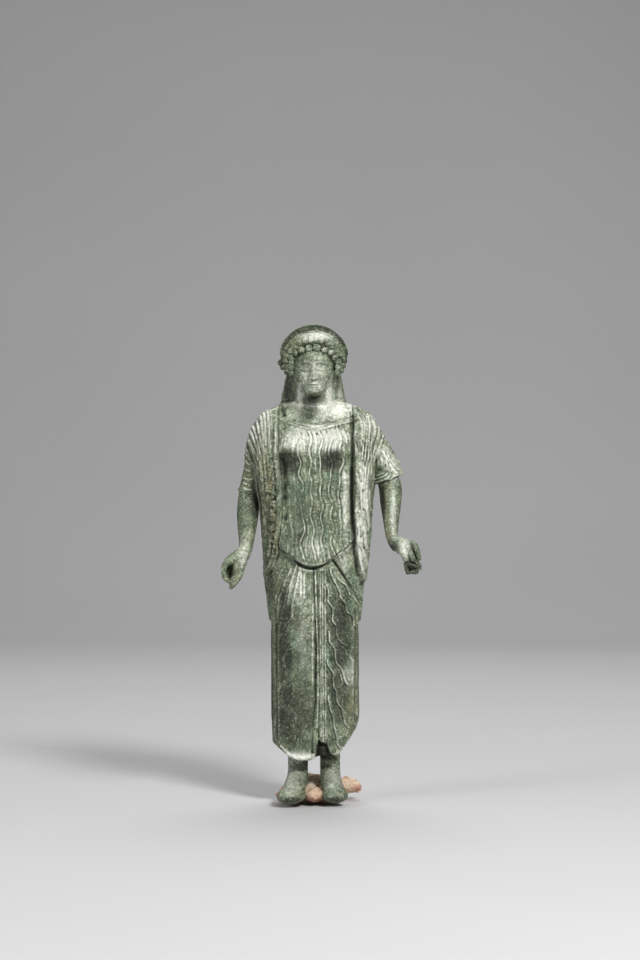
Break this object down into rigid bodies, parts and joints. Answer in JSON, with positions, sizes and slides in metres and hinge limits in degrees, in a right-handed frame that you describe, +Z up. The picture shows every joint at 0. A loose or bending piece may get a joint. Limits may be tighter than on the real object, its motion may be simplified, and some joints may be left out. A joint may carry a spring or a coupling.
{
  "type": "kore statue",
  "caption": "Patinated bronze statuette of a standing maiden in chiton, cloak and diadem, on the stony remnant of its base.",
  "frame": {"origin": "on the ground, inside the flat patch under the remnant of the base", "axes": "+Z up, the figure faces -Y, its own right hand is on the -X side"},
  "size_m": [0.1237, 0.0636, 0.2979],
  "materials": {
    "patinated_bronze": "cast bronze under a matt, mottled green patina with darker hollows",
    "buff_stone": "rough buff and salmon stone or mortar"
  },
  "bodies": {
    "root": {"kore_figure": "patinated_bronze", "base_remnant": "buff_stone"}
  },
  "joints": []
}
